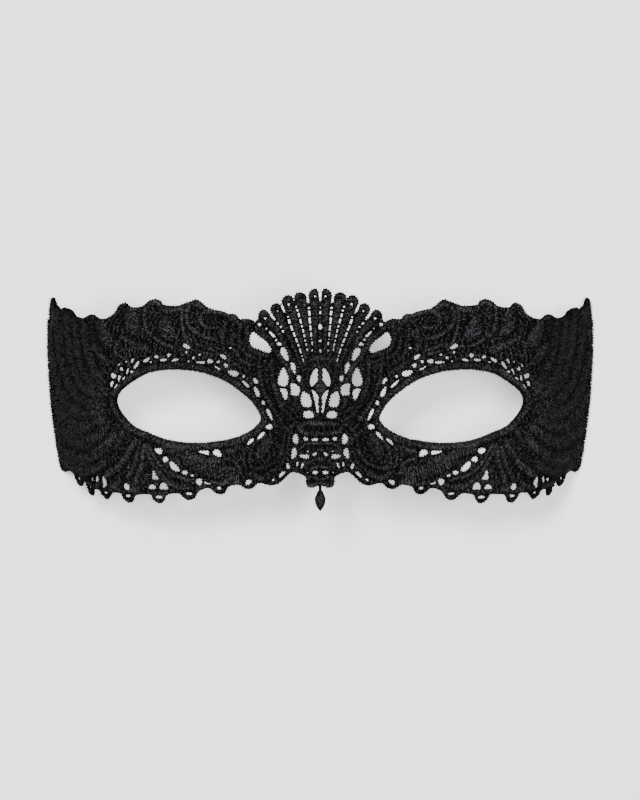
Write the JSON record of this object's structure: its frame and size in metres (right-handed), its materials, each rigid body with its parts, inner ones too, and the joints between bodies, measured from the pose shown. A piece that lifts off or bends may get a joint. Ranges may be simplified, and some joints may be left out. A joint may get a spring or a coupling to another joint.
{
  "type": "lace eye mask",
  "caption": "Arched eye mask of black embroidered lace, with a fan over the nose, feathered sides, open net round the eyes, looped lower edge and a small drop.",
  "frame": {"origin": "on the surface that the mask lies on, under the middle of its outer box", "axes": "+X along the width, +Y towards the forehead edge with the fan, +Z out of the face side, so the mask lies on its two end edges with the face side up. Names with right are on the +X half, the wearer's left"},
  "size_m": [0.1604, 0.0631, 0.0465],
  "materials": {
    "black_lace": "black embroidery thread, satin stitched, softly glossy along each thread"
  },
  "bodies": {
    "root": {"lace_mask": "black_lace"}
  },
  "joints": []
}
